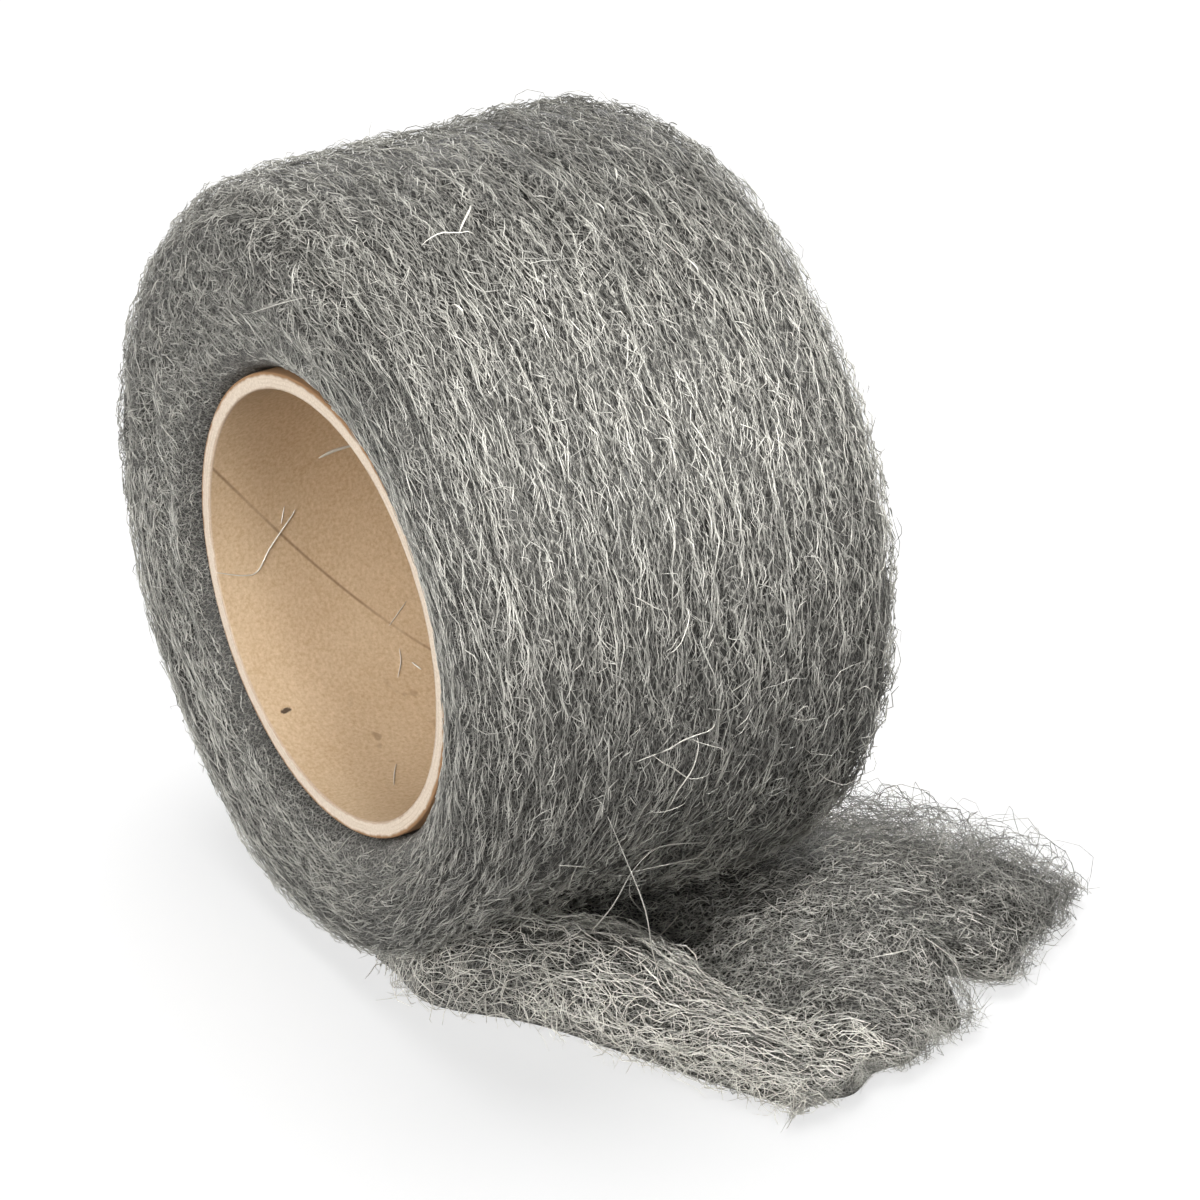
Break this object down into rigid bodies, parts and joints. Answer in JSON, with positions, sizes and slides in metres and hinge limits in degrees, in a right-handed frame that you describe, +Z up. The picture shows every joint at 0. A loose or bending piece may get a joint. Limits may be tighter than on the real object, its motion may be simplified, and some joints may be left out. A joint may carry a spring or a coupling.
{
  "type": "steel wool roll",
  "caption": "Soft roll of steel wool wound on a card tube, lying on its side with the loose end of the band teased out over the floor, for scouring and polishing.",
  "frame": {"origin": "on the floor, in the flat spot that the roll lies on, under the middle of the tube", "axes": "+Z up, the roll's axis along Y, the near open end of the tube towards -Y and the loose end of the band towards +X"},
  "size_m": [0.1651, 0.127, 0.143],
  "materials": {
    "card": "plain kraft board with a pale cut rim",
    "steel_wool": "dull grey steel fibres, wound along the roll and tangled at the loose end"
  },
  "bodies": {
    "root": {"core_tube": "card", "wool_roll": "steel_wool"}
  },
  "joints": []
}
